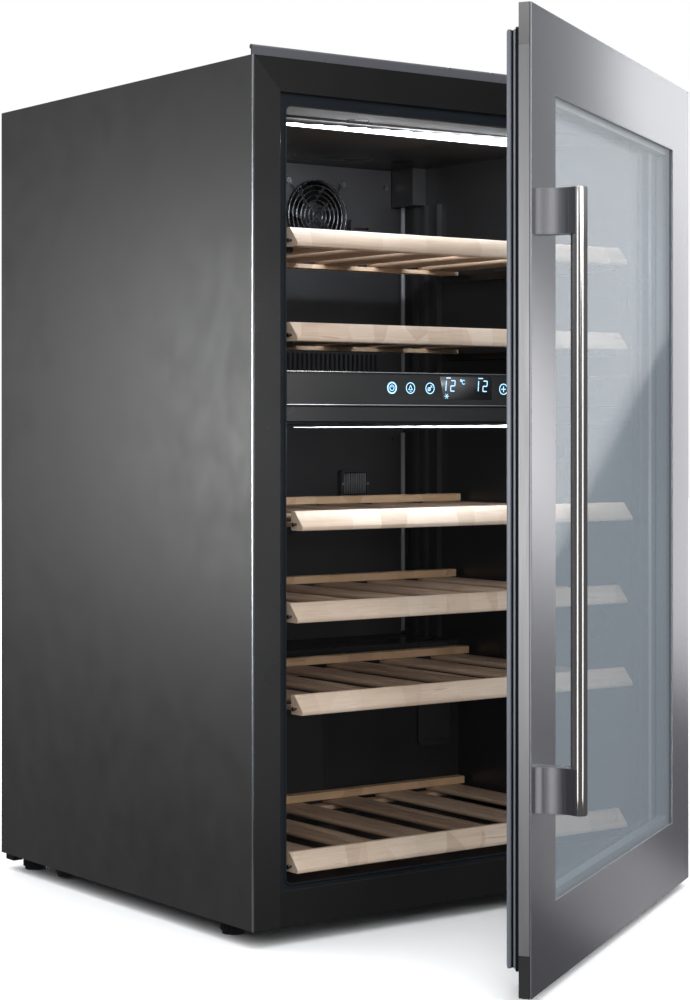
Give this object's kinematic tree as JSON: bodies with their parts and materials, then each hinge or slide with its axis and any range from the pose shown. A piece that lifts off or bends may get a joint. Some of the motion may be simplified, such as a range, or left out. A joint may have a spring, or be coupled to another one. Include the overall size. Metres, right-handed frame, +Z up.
{
  "type": "wine cooler",
  "caption": "Tall built-in wine cooler with two lit compartments, slatted wooden shelves that slide, a fan-cooled back wall and a framed glass door with a bar handle, hinged on the right.",
  "frame": {"origin": "on the floor, midway between the four levelling feet", "axes": "+Z up, -Y out of the front of the cabinet, +X to the right seen from the front"},
  "size_m": [0.5792, 0.8832, 0.8925],
  "materials": {
    "side_steel": "satin",
    "back_steel": "matt",
    "base_steel": "matt",
    "fascia_plastic": "semi-gloss",
    "bright_trim": "polished",
    "strip_metal": "satin",
    "flange_plastic": "satin",
    "liner_plastic": "satin",
    "foam": "cellular",
    "cover_plastic": "satin",
    "divider_plastic": "gloss",
    "panel_glass": "polished, opaque black",
    "display_blue": "lit",
    "led_white": "lit",
    "guard_wire": "bright",
    "fan_plastic": "matt",
    "screw_steel": "bright",
    "coil_metal": "plain",
    "compressor_paint": "semi-gloss",
    "condenser_paint": "semi-gloss",
    "hinge_steel": "plated",
    "impeller_plastic": "satin",
    "foot_plastic": "satin",
    "door_steel": "brushed upright",
    "edge_aluminium": "satin",
    "cap_plastic": "satin",
    "door_glass": "clear, slightly grey",
    "spacer_aluminium": "satin",
    "frame_plastic": "satin",
    "gasket_rubber": "satin",
    "bar_steel": "polished",
    "post_metal": "satin",
    "shelf_beech": "clear satin",
    "slat_wood": "clear satin"
  },
  "bodies": {
    "cabinet": {"side_panel_left": "side_steel", "side_panel_right": "side_steel", "top_panel": "side_steel", "back_panel": "back_steel", "base_tray": "base_steel", "fascia_frame": "fascia_plastic", "edge_trims": "bright_trim", "top_trim_strip": "strip_metal", "liner_flange": "flange_plastic", "liner_upper": "liner_plastic", "liner_lower": "liner_plastic", "insulation": "foam", "duct_cover_upper": "cover_plastic", "duct_cover_lower": "cover_plastic", "hump_cover": "cover_plastic", "divider_housing": "divider_plastic", "control_glass": "panel_glass", "display": "display_blue", "led_bars": "led_white", "fan_guard": "guard_wire", "fan_frames": "fan_plastic", "sensor_housing": "cover_plastic", "vent_grille": "cover_plastic", "screws": "screw_steel", "evaporators": "coil_metal", "compressor": "compressor_paint", "condenser_coil": "condenser_paint", "drip_tray": "fan_plastic", "power_box": "fan_plastic", "shelf_runners": "liner_plastic", "hinge_brackets": "hinge_steel"},
    "fan_upper": {"fan_impeller_upper": "impeller_plastic"},
    "fan_lower": {"fan_impeller_lower": "impeller_plastic"},
    "foot_front_left": {"foot_front_left": "foot_plastic"},
    "foot_front_right": {"foot_front_right": "foot_plastic"},
    "foot_rear_left": {"foot_rear_left": "foot_plastic"},
    "foot_rear_right": {"foot_rear_right": "foot_plastic"},
    "door": {"door_skin": "door_steel", "door_edge_profile": "edge_aluminium", "door_end_caps": "cap_plastic", "door_glass_outer": "door_glass", "door_glass_inner": "door_glass", "glazing_spacer": "spacer_aluminium", "door_inner_frame": "frame_plastic", "door_gasket": "gasket_rubber", "handle_bar": "bar_steel", "handle_posts": "post_metal", "door_hinge_plates": "hinge_steel"},
    "shelf_1": {"shelf_1_front": "shelf_beech", "shelf_1_rack": "slat_wood"},
    "shelf_2": {"shelf_2_front": "shelf_beech", "shelf_2_rack": "slat_wood"},
    "shelf_3": {"shelf_3_front": "shelf_beech", "shelf_3_rack": "slat_wood"},
    "shelf_4": {"shelf_4_front": "shelf_beech", "shelf_4_rack": "slat_wood"},
    "shelf_5": {"shelf_5_front": "shelf_beech", "shelf_5_rack": "slat_wood"},
    "shelf_6": {"shelf_6_front": "shelf_beech", "shelf_6_rack": "slat_wood"}
  },
  "joints": [
    {"name": "door_hinge", "type": "hinge", "parent": "cabinet", "child": "door", "pos_m": [0.2715, -0.3065, 0.45], "axis": [0, 0, 1], "range_deg": [-31.47, 63]},
    {"name": "shelf_1_slide", "type": "slide", "parent": "cabinet", "child": "shelf_1", "axis": [0, -1, 0], "range_m": [0, 0.03]},
    {"name": "shelf_2_slide", "type": "slide", "parent": "cabinet", "child": "shelf_2", "axis": [0, -1, 0], "range_m": [0, 0.03]},
    {"name": "shelf_3_slide", "type": "slide", "parent": "cabinet", "child": "shelf_3", "axis": [0, -1, 0], "range_m": [-0.0085, 0.024]},
    {"name": "shelf_4_slide", "type": "slide", "parent": "cabinet", "child": "shelf_4", "axis": [0, -1, 0], "range_m": [0, 0.03]},
    {"name": "shelf_5_slide", "type": "slide", "parent": "cabinet", "child": "shelf_5", "axis": [0, -1, 0], "range_m": [-0.0085, 0.024]},
    {"name": "shelf_6_slide", "type": "slide", "parent": "cabinet", "child": "shelf_6", "axis": [0, -1, 0], "range_m": [0, 0.03]},
    {"name": "fan_upper_spin", "type": "hinge", "parent": "cabinet", "child": "fan_upper", "pos_m": [0.087, 0.127, 0.773], "axis": [0, 1, 0], "continuous": true},
    {"name": "fan_lower_spin", "type": "hinge", "parent": "cabinet", "child": "fan_lower", "pos_m": [-0.029, 0.127, 0.363], "axis": [0, 1, 0], "continuous": true},
    {"name": "foot_front_left_turn", "type": "hinge", "parent": "cabinet", "child": "foot_front_left", "pos_m": [-0.249, -0.209, 0.009], "axis": [0, 0, 1], "continuous": true},
    {"name": "foot_front_right_turn", "type": "hinge", "parent": "cabinet", "child": "foot_front_right", "pos_m": [0.249, -0.209, 0.009], "axis": [0, 0, 1], "continuous": true},
    {"name": "foot_rear_left_turn", "type": "hinge", "parent": "cabinet", "child": "foot_rear_left", "pos_m": [-0.249, 0.209, 0.009], "axis": [0, 0, 1], "continuous": true},
    {"name": "foot_rear_right_turn", "type": "hinge", "parent": "cabinet", "child": "foot_rear_right", "pos_m": [0.249, 0.209, 0.009], "axis": [0, 0, 1], "continuous": true}
  ]
}
